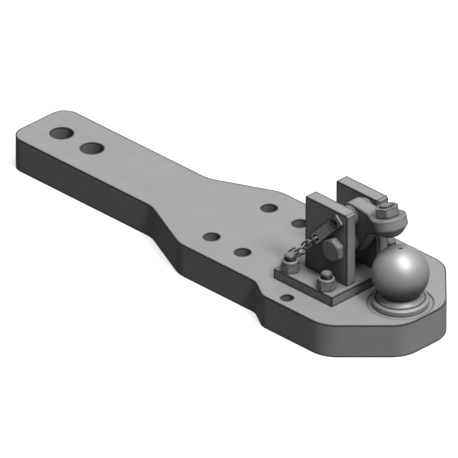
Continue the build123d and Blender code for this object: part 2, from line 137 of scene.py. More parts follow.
def mesh_from(name, points, faces):
    """A mesh object from an (n, 3) array in metres and a list of faces, each a list of corner numbers."""
    mesh = bpy.data.meshes.new(name)
    mesh.from_pydata(points.tolist(), [], faces)
    mesh.validate()
    mesh.shade_smooth()
    mesh.set_sharp_from_angle(angle=CRISP)
    piece = bpy.data.objects.new(name, mesh)
    bpy.context.scene.collection.objects.link(piece)
    return piece


def quads(rows, columns, wrap_rows=False):
    """Corner numbers of a rows x columns grid whose columns close on themselves."""
    row_count = rows if wrap_rows else rows - 1
    r, c = np.meshgrid(np.arange(row_count), np.arange(columns), indexing="ij")
    next_r = (r + 1) % rows
    next_c = (c + 1) % columns
    corners = [r * columns + c, r * columns + next_c, next_r * columns + next_c, next_r * columns + c]
    return np.stack(corners, axis=-1).reshape(-1, 4)


def turned_surface(radius, height, around):
    """Points (rows, around, 3): radius and height may be (rows,) or (rows, around) arrays."""
    angle = np.linspace(0, 2 * np.pi, around, endpoint=False)
    shape = (len(radius), around)
    radius, height = (np.broadcast_to(rows.reshape(len(rows), -1), shape) for rows in (radius, height))
    return np.stack([radius * np.cos(angle), radius * np.sin(angle), height], axis=-1)


def closed_turning(name, radius, height, place, around):
    """A turned piece from a profile that runs from the lower pole, outside, to the upper pole.

    radius and height hold the rows between the poles; place maps (n, 3) millimetres to metres.
    """
    ring_points = turned_surface(radius, height, around)
    rows = len(ring_points)
    low_pole = np.array([[0, 0, ring_points[0, :, 2].mean()]])
    high_pole = np.array([[0, 0, ring_points[-1, :, 2].mean()]])
    points = np.concatenate([ring_points.reshape(-1, 3), low_pole, high_pole])
    columns = np.arange(around)
    after = (columns + 1) % around
    last = (rows - 1) * around
    low_fan = np.stack([after, columns, np.full(around, rows * around)], axis=-1)
    high_fan = np.stack([last + columns, last + after, np.full(around, rows * around + 1)], axis=-1)
    faces = quads(rows, around).tolist() + low_fan.tolist() + high_fan.tolist()
    return mesh_from(name, place(points), faces)


def placed(origin, up=(0, 0, 1), turn=0.0):
    """A map from local millimetres to metres: local z goes along up, and the piece is turned about it."""
    x, y, z = axes_from(up)
    c, s = np.cos(turn), np.sin(turn)
    axes = np.stack([c * x + s * y, c * y - s * x, z])
    return lambda points: points @ axes * MM + np.array(origin)


# %% [markdown]
# Finishes
#
# The whole thing is one grey, and what tells the pieces apart is roughness, grain and how their
# edges catch the light. Two helpers serve every material: one turns a colour as it is written,
# in sRGB, to the linear values that the shader works in, and one adds a node.

# %% Material helpers
def linear(hex_colour):
    """An sRGB hex colour as linear RGBA."""
    channels = np.array([int(hex_colour[i:i + 2], 16) for i in (1, 3, 5)]) / 255
    low = channels / 12.92
    high = ((channels + 0.055) / 1.055) ** 2.4
    return (*np.where(channels <= 0.04045, low, high).tolist(), 1.0)


def add(tree, kind, settings=None, **links):
    """Adds a node; settings go to its properties or inputs, links join its inputs to other outputs.

    A link named _3 goes to input number 3. In a colour mix, inputs 0, 6 and 7 are the share, the
    first and the second colour, and output 2 is the mixed colour.
    """
    made = tree.nodes.new(kind)
    for key, value in (settings or {}).items():
        if isinstance(key, str) and key not in made.inputs:
            setattr(made, key, value)
        else:
            made.inputs[key].default_value = value
    for key, output in links.items():
        slot_name = key.replace("_", " ")
        slot = slot_name if slot_name in made.inputs else int(key[1:])
        tree.links.new(output, made.inputs[slot])
    return made


# %% [markdown]
# One recipe for grey steel
#
# Steel that is handled is never even: a cloud of noise mottles its colour and oil darkens its
# arrises. Its corners and holes get a painted shade: the colour is darkened where little of the
# sky is seen. A finer noise gives the skin its relief. The arrises could be painted by hand, but a
# rounded normal finds them on any solid, and it works from every side. All patterns read Object
# coordinates, so they stay on the piece.

# %% Grey steel
# The dark that marks the arrises and is painted as shade into corners.
ARRIS_AND_SHADE_DARK = "#1E1E1F"
MOTTLE_DARK, MOTTLE_PALE = 0.30, 0.70
ARRIS_STARTS, ARRIS_FULL, ARRIS_COVER = 0.99, 0.94, 0.9
# Sky seen in the open and in a corner, and the most that the painted corner shade covers.
OPEN_SKY, CORNER_SKY, CORNER_SHADE_COVER = 0.95, 0.35, 0.55


def steel(name, colour, dark, roughness, grain_mm, bump_mm, mottle_mm=35.0, upright=1.0,
          metallic=0.0, arris_mm=5.5, rounding_mm=0.6, painted_shade_mm=40.0, own_painted_shade=False,
          specular=0.18):
    """A grey steel finish with mottled colour, fine relief, dark arrises and painted shade in its corners.

    Lengths are in millimetres, and a noise of scale 1000 / length has cells of that length.
    upright below 1 stretches the relief along z, which draws a flame cut's drag lines on upright
    faces. The own-shade switch keeps the painted shade to the piece's own holes and corners, off
    what others stand on.
    """
    material = bpy.data.materials.new(name)
    material.use_nodes = True
    tree = material.node_tree
    shader = tree.nodes["Principled BSDF"]
    shader.inputs["Metallic"].default_value = metallic
    shader.inputs["Specular IOR Level"].default_value = specular
    place = add(tree, "ShaderNodeTexCoord").outputs["Object"]
    cloud = add(tree, "ShaderNodeTexNoise",
                {"Scale": 1000 / mottle_mm, "Detail": 5.0, "Roughness": 0.55}, Vector=place)
    colours = add(tree, "ShaderNodeValToRGB", Fac=cloud.outputs["Fac"])
    colours.color_ramp.elements[0].position = MOTTLE_DARK
    colours.color_ramp.elements[0].color = linear(dark)
    colours.color_ramp.elements[1].position = MOTTLE_PALE
    colours.color_ramp.elements[1].color = linear(colour)
    # Close to an arris the rounded normal leans away from the true one: 0.99 is 8 degrees, 0.94 is 20.
    near_arris = add(tree, "ShaderNodeBevel", {"samples": 8, "Radius": arris_mm * MM})
    rounded = add(tree, "ShaderNodeBevel", {"samples": 6, "Radius": rounding_mm * MM})
    flat = add(tree, "ShaderNodeNewGeometry")
    agreement = add(tree, "ShaderNodeVectorMath", {"operation": "DOT_PRODUCT"},
                    _0=near_arris.outputs["Normal"], _1=flat.outputs["Normal"])
    arris = add(tree, "ShaderNodeMapRange", {"From Min": ARRIS_STARTS, "From Max": ARRIS_FULL,
                                             "To Min": 0.0, "To Max": ARRIS_COVER},
                Value=agreement.outputs["Value"])
    edged = add(tree, "ShaderNodeMix", {"data_type": "RGBA", 7: linear(ARRIS_AND_SHADE_DARK)},
                _0=arris.outputs["Result"], _6=colours.outputs["Color"])
    # Painted shade: the colour is darkened where other surfaces stand close and little of the sky is seen.
    sky = add(tree, "ShaderNodeAmbientOcclusion",
              {"samples": 6, "Distance": painted_shade_mm * MM, "only_local": own_painted_shade})
    corner_shade = add(tree, "ShaderNodeMapRange", {"From Min": OPEN_SKY, "From Max": CORNER_SKY,
                                            "To Min": 0.0, "To Max": CORNER_SHADE_COVER},
               Value=sky.outputs["AO"])
    corner_shaded = add(tree, "ShaderNodeMix", {"data_type": "RGBA", 7: linear(ARRIS_AND_SHADE_DARK)},
                 _0=corner_shade.outputs["Result"], _6=edged.outputs[2])
    tree.links.new(corner_shaded.outputs[2], shader.inputs["Base Color"])
    gloss = add(tree, "ShaderNodeMapRange", {"To Min": roughness - 0.05, "To Max": roughness + 0.07},
                Value=cloud.outputs["Fac"])
    tree.links.new(gloss.outputs["Result"], shader.inputs["Roughness"])
    stretch = add(tree, "ShaderNodeMapping", {"Scale": (1, 1, upright)}, Vector=place)
    grain = add(tree, "ShaderNodeTexNoise", {"Scale": 1000 / grain_mm, "Detail": 3.0},
                Vector=stretch.outputs["Vector"])
    relief = add(tree, "ShaderNodeBump", {"Strength": 1.0, "Distance": bump_mm * MM},
                 Height=grain.outputs["Fac"], Normal=rounded.outputs["Normal"])
    tree.links.new(relief.outputs["Normal"], shader.inputs["Normal"])
    return material


# %% [markdown]
# Painted shade under the ball
#
# The lower half of the ball and its neck get a painted shade: a dark colour mixed in by
# height, from nothing at the middle of the ball to nearly all low on it, and it ends just under
# the neck: the flare and the flange stay bare.

# %% Painted shade under the ball
LOW_BALL_SHADE = "#202020"
BALL_SHADE_STARTS, BALL_SHADE_FULL, BALL_SHADE_ENDS = 52.0, 24.0, 16.0
BALL_SHADE_EDGE = 2.0
BALL_SHADE_COVER = 0.93


def paint_shade_under_ball(material, level):
    """Mixes a painted shade into a finish by height; its heights are millimetres above a level in metres.
    """
    tree = material.node_tree
    base = tree.nodes["Principled BSDF"].inputs["Base Color"]
    bare = base.links[0].from_socket
    place = add(tree, "ShaderNodeTexCoord").outputs["Object"]
    height = add(tree, "ShaderNodeSeparateXYZ", Vector=place).outputs["Z"]
    downwards = add(tree, "ShaderNodeMapRange",
                    {"interpolation_type": "SMOOTHSTEP", "From Min": level + BALL_SHADE_STARTS * MM,
                     "From Max": level + BALL_SHADE_FULL * MM, "To Min": 0.0, "To Max": BALL_SHADE_COVER},
                    Value=height)
    above_flare = add(tree, "ShaderNodeMapRange",
                      {"From Min": level + BALL_SHADE_ENDS * MM - BALL_SHADE_EDGE * MM,
                       "From Max": level + BALL_SHADE_ENDS * MM}, Value=height)
    amount = add(tree, "ShaderNodeMath", {"operation": "MULTIPLY"}, _0=downwards.outputs["Result"],
                 _1=above_flare.outputs["Result"])
    low_shaded = add(tree, "ShaderNodeMix", {"data_type": "RGBA", 7: linear(LOW_BALL_SHADE)},
               _0=amount.outputs[0], _6=bare)
    tree.links.new(low_shaded.outputs[2], base)


# %% [markdown]
# The finishes of this object
#
# Real skins are finer than a picture of this size shows: phosphate crystals, blast pits and
# turning marks are a few hundredths of a millimetre wide. So every grain below is drawn coarser,
# 0.8 to 2.2 mm, and kept shallow. A coat hides the metal, so coated steel has no metallic share
# and bare steel has some, though less than clean steel has, because it is oiled and handled.

# %% Finishes
# Thick plate, flame cut and phosphated: a dull even grey, with upright drag lines on its edges.
PHOSPHATED = ("#828282", "#7E7E7E", 0.46, 2.2, 0.04)
DRAG_LINES = 0.04
plate_steel = steel("phosphated_plate_steel", *PHOSPHATED, upright=DRAG_LINES)
# The big plate is the same steel, but painted shade only in its own holes keeps its broad top even.
flame_cut_steel = steel("flame_cut_plate_steel", *PHOSPHATED, upright=DRAG_LINES, own_painted_shade=True)
# A forging is shot blasted to clear its scale: a pitted skin, and roundings where plate has arrises.
forged_steel = steel("shot_blasted_forging", "#808080", "#7A7A7A", 0.48, 1.6, 0.05, mottle_mm=18,
                     arris_mm=6.0)
# The ball is turned and left bare: smooth, with one broad soft highlight and a sheen on its rim.
turned_steel = steel("turned_ball_steel", "#979797", "#939393", 0.50, 0.8, 0.002, mottle_mm=60,
                     metallic=0.45, arris_mm=3.0, rounding_mm=0.4, painted_shade_mm=8.0, specular=0.5)
# The lower half of the ball gets a painted shade.
paint_shade_under_ball(turned_steel, plate_top)
# Bolts and nuts are cold forged and oiled: fine grained, darker than plate, a little metallic.
fastener_steel = steel("plain_fastener_steel", "#7A7A7A", "#717171", 0.46, 1.0, 0.01, mottle_mm=12,
                       metallic=0.15, arris_mm=3.0, rounding_mm=0.4, painted_shade_mm=6.0)
# The pin and its handle are cut from cold drawn bar: paler and smoother than plate.
bar_steel = steel("cold_drawn_bar", "#878787", "#808080", 0.42, 1.0, 0.01, mottle_mm=15,
                  metallic=0.15, arris_mm=3.0, rounding_mm=0.4, painted_shade_mm=5.0)
# Chain wire is drawn bright and rubs itself clean, so it glints along each link.
chain_steel = steel("welded_chain_wire", "#969696", "#868686", 0.42, 1.0, 0.02, mottle_mm=8,
                    metallic=0.35, arris_mm=0.6, rounding_mm=0.2, painted_shade_mm=3.0)
finish_of = {
    "plate_steel": plate_steel,
    "forged_steel": forged_steel,
    "turned_steel": turned_steel,
    "fastener_steel": fastener_steel,
    "pin_steel": bar_steel,
    "chain_steel": chain_steel,
}


def dress(piece, slot_name):
    """Gives a piece the finish of one of the record's slots."""
    piece.data.materials.clear()
    piece.data.materials.append(finish_of[slot_name])


slot_of = {row["node"]: row["material_slot"] for row in frame["record"]["subparts"]}
for node_name, node_object in frame["nodes"].items():
    dress(node_object, slot_of[node_name])
frame["nodes"]["drawbar_plate"].data.materials[0] = flame_cut_steel
print("finishes", sorted(finish_of))

# %% [markdown]
# Hexagons and threads
#
# A bolt's hexagon is turned off at 30 degrees, which leaves the curved lines near its corners.
# As a surface this is simple: the radius is that of a slightly rounded hexagon, and the height
# is the lower of the flat top and a cone. A thread is a radius that rises and falls as the
# surface climbs one pitch a turn.

# %% Hexagon radius and thread radius
AROUND = 144
CORNER_POWER = 40
TURNED_OFF = 0.475
EDGE_BREAK = 0.3
TOOTH_DEPTH = 0.6134
TOOTH_STEEPNESS, CREST_SHARE = 1.15, 0.075


def hexagon_radius(flats):
    """Distance from the axis to a hexagon's side: the smallest reach of its six flats, softly joined.

    Each flat counts by a high power of its cosine, so the nearest one rules and corners round a little.
    """
    angle = np.linspace(0, 2 * np.pi, AROUND, endpoint=False)
    sides = np.cos(angle[:, None] - np.radians(np.arange(0, 360, 60)))
    return flats / 2 / (np.clip(sides, 0, None) ** CORNER_POWER).sum(axis=1) ** (1 / CORNER_POWER)


def hexagon_rows(flats, height, inner, top_chamfer, bottom_chamfer):
    """Rows (radius, height) from the bottom's inner edge, up the flats, to the top's inner edge.

    A chamfered end is the lower of the flat and a 30 degree cone; the other end has its edge broken.
    """
    side = hexagon_radius(flats)
    turned_off = TURNED_OFF * flats
    cone = np.clip(side - turned_off, 0, None) * np.tan(np.radians(30))
    ones = np.ones_like(side)
    rows = [(inner * ones, 0 * ones)]
    if bottom_chamfer:
        rows += [(turned_off * ones, 0 * ones), (side, cone)]
    else:
        rows += [(side - EDGE_BREAK, 0 * ones), (side, EDGE_BREAK * ones)]
    if top_chamfer:
        rows += [(side, height - cone), (turned_off * ones, height * ones)]
    else:
        rows += [(side, (height - EDGE_BREAK) * ones), (side - EDGE_BREAK, height * ones)]
    rows += [(inner * ones, height * ones)]
    return rows


def thread_rows(diameter, pitch, length, end_chamfer, per_pitch=8):
    """Rows of a right-hand thread: the radius is a 60 degree tooth of (height / pitch - angle).

    A fifteenth of the pitch is left flat at crest and root, and a 45 degree cone cuts the end.
    """
    heights = np.arange(0, length, pitch / per_pitch)
    heights = np.append(heights[heights < length - 0.02], length)
    angle = np.linspace(0, 1, AROUND, endpoint=False)
    phase = (heights[:, None] / pitch - angle) % 1.0
    depth = TOOTH_DEPTH * pitch
    tooth = np.clip(np.abs(phase - 0.5) * 2 * TOOTH_STEEPNESS - CREST_SHARE, 0, 1)
    radius = diameter / 2 - depth * tooth
    cone = diameter / 2 - end_chamfer + (length - heights[:, None])
    radius = np.minimum(radius, cone)
    return [(row, np.full(AROUND, h)) for row, h in zip(radius, heights)]


def stack(rows):
    """Rows of (radius, height) as two arrays."""
    radius = np.array([np.broadcast_to(r, AROUND) for r, h in rows])
    height = np.array([np.broadcast_to(h, AROUND) for r, h in rows])
    return radius, height


print("a 24 mm hexagon's corners reach", round(float(hexagon_radius(24.0).max()), 2), "mm")

# %% [markdown]
# The base's four bolts and lock nuts
#
# Each bolt comes up from a counterbore under the plate, so its head is hexagon and the end that
# shows is threaded. The nuts are the all-metal locking kind: a round collar on top is squeezed
# inwards, so it ends in a rounded lip round the thread.

# %% Bolts and nuts of the base
BASE_CORNERS = ("rear_near", "rear_far", "front_near", "front_far")
NUT_FLATS = 24.0
NUT_HEX_HEIGHT = 12.5
COLLAR_RADIUS = 11.5
COLLAR_FOOT = 0.25
LIP_RADIUS = 2.4
BOLT_DIAMETER = 16.0
BOLT_PITCH = 2.0
BOLT_THREAD = 38.0
HEAD_HEIGHT = 10.0
END_CHAMFER = 1.9
THREAD_GAP = 0.05
ON_AXIS = 0.01


def bolt_surface(name, place, diameter, pitch, flats, head, plain, length):
    """A hexagon bolt: its head below z = 0, a plain shank and then the thread up to its end."""
    head_rows = [(r, h - head) for r, h in hexagon_rows(flats, head, ON_AXIS, False, True)]
    shank = [(diameter / 2, 0.0), (diameter / 2, plain)]
    thread = [(r, h + plain) for r, h in thread_rows(diameter, pitch, length - plain, END_CHAMFER)]
    radius, height = stack(head_rows[:-1] + shank + thread)
    return closed_turning(name, radius, height, place, AROUND)


def ring_surface(name, place, rows):
    """A piece with a bore: its rows run round the section and close on themselves."""
    radius, height = stack(rows)
    grid = turned_surface(radius, height, AROUND)
    return mesh_from(name, place(grid.reshape(-1, 3)), quads(len(grid), AROUND, wrap_rows=True).tolist())


def lock_nut_rows(total):
    """A lock nut's section: hexagon, then a collar whose round lip turns in, then the bore."""
    bore = BOLT_DIAMETER / 2 + THREAD_GAP
    rows = hexagon_rows(NUT_FLATS, NUT_HEX_HEIGHT, bore, True, False)[:-1]
    rows += [(COLLAR_RADIUS + COLLAR_FOOT, NUT_HEX_HEIGHT), (COLLAR_RADIUS, NUT_HEX_HEIGHT + COLLAR_FOOT)]
    for a in np.linspace(0, np.pi / 2, 7):
        rows.append((COLLAR_RADIUS - LIP_RADIUS * (1 - np.cos(a)), total - LIP_RADIUS * (1 - np.sin(a))))
    return rows + [(bore, total - 0.1), (bore, 0.4)]


def finish_piece(piece, slot_name, node, body):
    """Dresses a piece, puts it in place of its solid and lets it ride on the solid's body."""
    dress(piece, slot_name)
    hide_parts(node)
    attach(piece, body)


for corner in BASE_CORNERS:
    bolt_node, nut_node = f"base_bolt_{corner}", f"lock_nut_{corner}"
    bolt_low, bolt_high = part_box(bolt_node)
    nut_low, nut_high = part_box(nut_node)
    axis_x, axis_y = centre_of(bolt_node)[:2]
    seat = (axis_x, axis_y, bolt_low[2] + HEAD_HEIGHT * MM)
    length = (bolt_high[2] - seat[2]) / MM
    bolt_place = placed(seat, turn=hexagon_turn(bolt_node, seat, (0, 0, 1)))
    bolt = bolt_surface(f"threaded_{bolt_node}", bolt_place, BOLT_DIAMETER, BOLT_PITCH, NUT_FLATS,
                        HEAD_HEIGHT, length - BOLT_THREAD, length)
    finish_piece(bolt, "fastener_steel", bolt_node, "root")
    nut_seat = (axis_x, axis_y, nut_low[2])
    nut_place = placed(nut_seat, turn=hexagon_turn(nut_node, nut_seat, (0, 0, 1)))
    nut = ring_surface(f"collared_{nut_node}", nut_place, lock_nut_rows((nut_high[2] - nut_low[2]) / MM))
    finish_piece(nut, "fastener_steel", nut_node, "root")
print("bolts and nuts", len(BASE_CORNERS))

# %% [markdown]
# The pivot bolt and its nut
#
# The arm turns on one large bolt across both cheeks. Its axis lies along y, so the same
# surfaces are used with another up direction.

# %% Pivot bolt
PIVOT_DIAMETER = 20.0
PIVOT_PITCH = 2.5
PIVOT_FLATS = 30.0
PIVOT_HEAD = 12.5
PIVOT_THREAD = 34.0

pivot_low, pivot_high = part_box("pivot_bolt")
pivot_middle = centre_of("pivot_bolt")
pivot_seat = (pivot_middle[0], pivot_low[1] + PIVOT_HEAD * MM, pivot_middle[2])
pivot_length = (pivot_high[1] - pivot_seat[1]) / MM
pivot_place = placed(pivot_seat, (0, 1, 0), hexagon_turn("pivot_bolt", pivot_seat, (0, 1, 0)))
pivot = bolt_surface("threaded_pivot_bolt", pivot_place, PIVOT_DIAMETER, PIVOT_PITCH, PIVOT_FLATS,
                     PIVOT_HEAD, pivot_length - PIVOT_THREAD, pivot_length)
finish_piece(pivot, "fastener_steel", "pivot_bolt", "root")

pivot_nut_low, pivot_nut_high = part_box("pivot_nut")
pivot_nut_seat = (pivot_middle[0], pivot_nut_low[1], pivot_middle[2])
pivot_nut_turn = hexagon_turn("pivot_nut", pivot_nut_seat, (0, 1, 0))
pivot_nut_rows = hexagon_rows(PIVOT_FLATS, (pivot_nut_high[1] - pivot_nut_low[1]) / MM,
                              PIVOT_DIAMETER / 2 + THREAD_GAP, True, True)
pivot_nut = ring_surface("chamfered_pivot_nut", placed(pivot_nut_seat, (0, 1, 0), pivot_nut_turn),
                         pivot_nut_rows)
finish_piece(pivot_nut, "fastener_steel", "pivot_nut", "root")
print("pivot bolt", round(float(pivot_length), 1), "mm under its head")

# %% [markdown]
# The adjusting screw
#
# A stud through the leaning head sets how close the pad comes to the ball. Its lean is the long
# principal axis of its solid, and its lock nut turns about the same line. The nut is drawn as a
# full one, 4 mm higher than its solid, so that little more than the screw's end stands above it.

# %% Adjusting screw and its lock nut
ADJUSTER_DIAMETER = 20.0
ADJUSTER_PITCH = 2.5
ADJUSTER_FLATS = 30.0
ADJUSTER_NUT_HEIGHT = 14.0
ADJUSTER_FOOT_CHAMFER = 1.6
ADJUSTER_END_CHAMFER = 1.5

screw_middle, screw_axes = lie_of("adjusting_screw")
lean = screw_axes[2] * np.sign(screw_axes[2][2])
along_screw = (corners_of("adjusting_screw") - screw_middle) @ lean
screw_foot = screw_middle + lean * along_screw.min()
screw_length = np.ptp(along_screw) / MM
screw_rows = [(ADJUSTER_DIAMETER / 2 - ADJUSTER_FOOT_CHAMFER, 0.0)]
screw_rows += thread_rows(ADJUSTER_DIAMETER, ADJUSTER_PITCH, screw_length, ADJUSTER_END_CHAMFER)
screw_radius, screw_height = stack(screw_rows)
screw = closed_turning("threaded_adjusting_screw", screw_radius, screw_height,
                       placed(screw_foot, lean), AROUND)
finish_piece(screw, "fastener_steel", "adjusting_screw", "arm")

along_nut = (corners_of("adjusting_lock_nut") - screw_foot) @ lean
nut_foot = screw_foot + lean * along_nut.min()
adjusting_turn = hexagon_turn("adjusting_lock_nut", nut_foot, lean)
adjusting_rows = hexagon_rows(ADJUSTER_FLATS, ADJUSTER_NUT_HEIGHT, ADJUSTER_DIAMETER / 2 + THREAD_GAP,
                              True, True)
adjusting_nut = ring_surface("chamfered_adjusting_nut", placed(nut_foot, lean, adjusting_turn),
                             adjusting_rows)
finish_piece(adjusting_nut, "fastener_steel", "adjusting_lock_nut", "arm")
print("screw lean", round(float(np.degrees(np.arccos(lean[2]))), 1))

# %% [markdown]
# The forged arm
#
# A forging has no sharp arris anywhere, because the metal has to flow in the die. A bevel would
# fail on the solid's long thin triangles. So they are joined, rebuilt as cells of 0.6 mm and
# smoothed once, which melts every edge a little, outside and inside alike.

# %% Forged arm
ARM_CELL = 0.6

arm = bpy.data.objects.new("forged_hold_down_arm", frame["nodes"]["hold_down_arm"].data.copy())
bpy.context.scene.collection.objects.link(arm)
joined = arm.modifiers.new("join the loose triangles", "WELD")
joined.merge_threshold = 0.01 * MM
cells = arm.modifiers.new("cells", "REMESH")
cells.mode = "VOXEL"
cells.voxel_size = ARM_CELL * MM
melt = arm.modifiers.new("melt the edges", "SMOOTH")
melt.factor = 0.5
melt.iterations = 1
bpy.context.view_layer.update()
melted = bpy.data.meshes.new_from_object(arm.evaluated_get(bpy.context.evaluated_depsgraph_get()))
arm.modifiers.clear()
arm.data = melted
arm.data.shade_smooth()
finish_piece(arm, "forged_steel", "hold_down_arm", "arm")
print("arm faces", len(arm.data.polygons))

# %% [markdown]
# The chain
#
# A welded link is a circle carried round a stadium: two straight sides and two half rounds. It
# swells a little on one side, where the wire's ends were welded together. Each link's place and
# lean are the principal axes of its solid. The first link goes with the pin. The others are one
# piece.

# %% Links
WIRE_RADIUS = 1.5
LINK_STRAIGHT = 12.5
LINK_ROUND = 4.5
SWELL_HEIGHT, SWELL_REACH = 0.22, 1.3
LINKS = [f"chain_link_{number:02d}" for number in range(1, 12)]


def stadium(per_side=14, per_round=24):
    """Points and outward normals, both (n, 2), round a stadium in its own plane, and distance to the weld.

    The run is even along both straight sides, and sine and cosine of an even turn round both ends.
    """
    half = LINK_STRAIGHT / 2
    run = np.linspace(-half, half, per_side, endpoint=False)
    turn = np.linspace(0, np.pi, per_round, endpoint=False)
    ones, zeros = np.ones(per_side), np.zeros(per_side)
    near = np.stack([run, -LINK_ROUND * ones], axis=-1)
    right_end = np.stack([half + LINK_ROUND * np.sin(turn), -LINK_ROUND * np.cos(turn)], axis=-1)
    points = np.concatenate([near, right_end, -near, -right_end])
    near_out = np.stack([zeros, -ones], axis=-1)
    right_out = np.stack([np.sin(turn), -np.cos(turn)], axis=-1)
    outward = np.concatenate([near_out, right_out, -near_out, -right_out])
    from_weld = np.hypot(points[:, 0], points[:, 1] + LINK_ROUND)
    return points, outward, from_weld


def link_points(node, around=28):
    """Points (n, around, 3) of one link in metres: a circle about each point of the stadium.

    The circle lies across the wire, between the outward normal and the link's thin axis, and its
    radius is the wire's plus a bell curve of the distance to the weld.
    """
    centre, (thin, wide, long) = lie_of(node)
    points, outward, from_weld = stadium()
    wire = WIRE_RADIUS + SWELL_HEIGHT * np.exp(-(from_weld / SWELL_REACH) ** 2)
    angle = np.linspace(0, 2 * np.pi, around, endpoint=False)
    out = outward @ np.stack([long, wide])
    middle = points @ np.stack([long, wide])
    ring = np.cos(angle)[None, :, None] * out[:, None, :] + np.sin(angle)[None, :, None] * thin
    return centre + (middle[:, None, :] + wire[:, None, None] * ring) * MM


def chain_surface(name, nodes):
    """One mesh of several links."""
    grids = [link_points(node) for node in nodes]
    rows, around = grids[0].shape[:2]
    faces = quads(rows, around, wrap_rows=True)
    points = np.concatenate([grid.reshape(-1, 3) for grid in grids])
    all_faces = np.concatenate([faces + i * rows * around for i in range(len(grids))])
    return mesh_from(name, points, all_faces.tolist())


first_link = chain_surface("link_on_handle", LINKS[:1])
finish_piece(first_link, "chain_steel", LINKS[0], "pin")
chain = chain_surface("hanging_chain", LINKS[1:])
dress(chain, "chain_steel")
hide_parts(*LINKS[1:])
tuple(lie_of(LINKS[7])[0])
tuple(lie_of(LINKS[0])[0])
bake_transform(chain)
print("links", len(LINKS))

# %% [markdown]
# The weld in the handle
#
# The flat handle is plug welded to the pin through its round hole. The weld stands highest
# against the hole's wall and dips to the pin's face in the middle, with the ripples that a
# welder leaves, fourteen to a turn. The height is the dip plus a sine round the ring.

# %% Plug weld
WELD_RADIUS = 6.45
WELD_WIDTH = 4.2
WELD_DEPTH = 4.7
WELD_LIFT = 0.05
WELD_DIP = 0.8
RIPPLES, RIPPLE_HEIGHT = 14, 0.16

pin_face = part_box("locking_pin")[0][1]
pin_middle = centre_of("locking_pin")
across_weld = np.linspace(0, 1, 18)
weld_angle = np.linspace(0, 2 * np.pi, AROUND, endpoint=False)
bead = WELD_DEPTH * (1 - across_weld) ** WELD_DIP
ripple = RIPPLE_HEIGHT * np.sin(RIPPLES * weld_angle)[None, :] * np.sin(np.pi * across_weld)[:, None]
weld_height = bead[:, None] + ripple + WELD_LIFT
weld_radius = np.broadcast_to((WELD_RADIUS - WELD_WIDTH * across_weld)[:, None], weld_height.shape)
foot = [(np.full(AROUND, WELD_RADIUS - 0.05), np.full(AROUND, 0.0))]
bead_radius, bead_height = stack(foot + list(zip(weld_radius, weld_height)))
weld = closed_turning("plug_weld", bead_radius, bead_height,
                      placed((pin_middle[0], pin_face, pin_middle[2]), (0, -1, 0)), AROUND)
dress(weld, "pin_steel")
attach(weld, "pin")
print("weld", 2 * WELD_RADIUS, "mm across")

# %% [markdown]
# The coupling ball
#
# The ball is turned from one bar with its neck and flange, and its profile is the whole shape:
# a flat flange, a shallow cone that ends in a fine groove, a flare up to the neck, and the
# sphere. Flare and sphere are arcs, given by sine and cosine. A fine profile keeps the sphere's
# outline round at any size of picture.

# %% Ball profile
BALL_RADIUS = 40.0
BALL_CENTRE = 46.4
FLANGE_TOP = 6.3
RIM_RADIUS, RIM_HEIGHT = 33.7, 8.8
NECK_RADIUS = 27.5
CONE_END, CONE_DROP = 1.1, 0.47
GROOVE_OUTER, GROOVE_INNER, GROOVE_DEPTH = 0.7, 0.1, 1.1
RIM_BREAK, FLANGE_BREAK, DRILL_BREAK = 0.6, 0.4, 0.8
TOP_FLAT_RADIUS = 7.3
DRILL_RADIUS, DRILL_DEPTH = 2.0, 10.0
SPIGOT_RADIUS = 22.5
SPOT_DEPTH = 1.0
TAPPED_RADIUS, TAPPED_DEPTH = 10.05, 44.0


def ball_profile():
    """(radius, height) above the plate, from under the spigot, outside, to the drill's bottom."""
    neck_z = BALL_CENTRE - np.sqrt(BALL_RADIUS**2 - NECK_RADIUS**2)
    run, rise = RIM_RADIUS - NECK_RADIUS, neck_z - RIM_HEIGHT
    flare = (run**2 + rise**2) / (2 * run)
    turn = np.linspace(np.arcsin(rise / flare), 0, 14)
    low = np.arcsin((neck_z - BALL_CENTRE) / BALL_RADIUS)
    high = np.arccos(TOP_FLAT_RADIUS / BALL_RADIUS)
    latitude = np.linspace(low, high, 90)
    spigot_end = ball_foot / MM - plate_top / MM
    flat_z = BALL_CENTRE + np.sqrt(BALL_RADIUS**2 - TOP_FLAT_RADIUS**2)
    pairs = [(TAPPED_RADIUS, spigot_end + TAPPED_DEPTH), (TAPPED_RADIUS, spigot_end),
             (SPIGOT_RADIUS - 1, spigot_end), (SPIGOT_RADIUS, spigot_end + 1), (SPIGOT_RADIUS, -SPOT_DEPTH),
             (BALL_RADIUS - RIM_BREAK, -SPOT_DEPTH), (BALL_RADIUS, -SPOT_DEPTH + RIM_BREAK),
             (BALL_RADIUS, FLANGE_TOP - FLANGE_BREAK), (BALL_RADIUS - FLANGE_BREAK, FLANGE_TOP)]
    pairs += [(RIM_RADIUS + CONE_END, RIM_HEIGHT - CONE_DROP),
              (RIM_RADIUS + GROOVE_OUTER, RIM_HEIGHT - GROOVE_DEPTH),
              (RIM_RADIUS + GROOVE_INNER, RIM_HEIGHT - GROOVE_DEPTH)]
    pairs += [(NECK_RADIUS + flare * (1 - np.cos(t)), neck_z - flare * np.sin(t)) for t in turn]
    pairs += [(BALL_RADIUS * np.cos(t), BALL_CENTRE + BALL_RADIUS * np.sin(t)) for t in latitude]
    pairs += [(DRILL_RADIUS + DRILL_BREAK, flat_z), (DRILL_RADIUS, flat_z - DRILL_BREAK),
              (DRILL_RADIUS, flat_z - DRILL_DEPTH)]
    return np.array(pairs)


profile = ball_profile()
ball = closed_turning("turned_coupling_ball", profile[:, 0], profile[:, 1],
                      placed((ball_axis[0], ball_axis[1], plate_top)), around=192)
finish_piece(ball, "turned_steel", "coupling_ball", "root")
print("ball rows", len(profile))

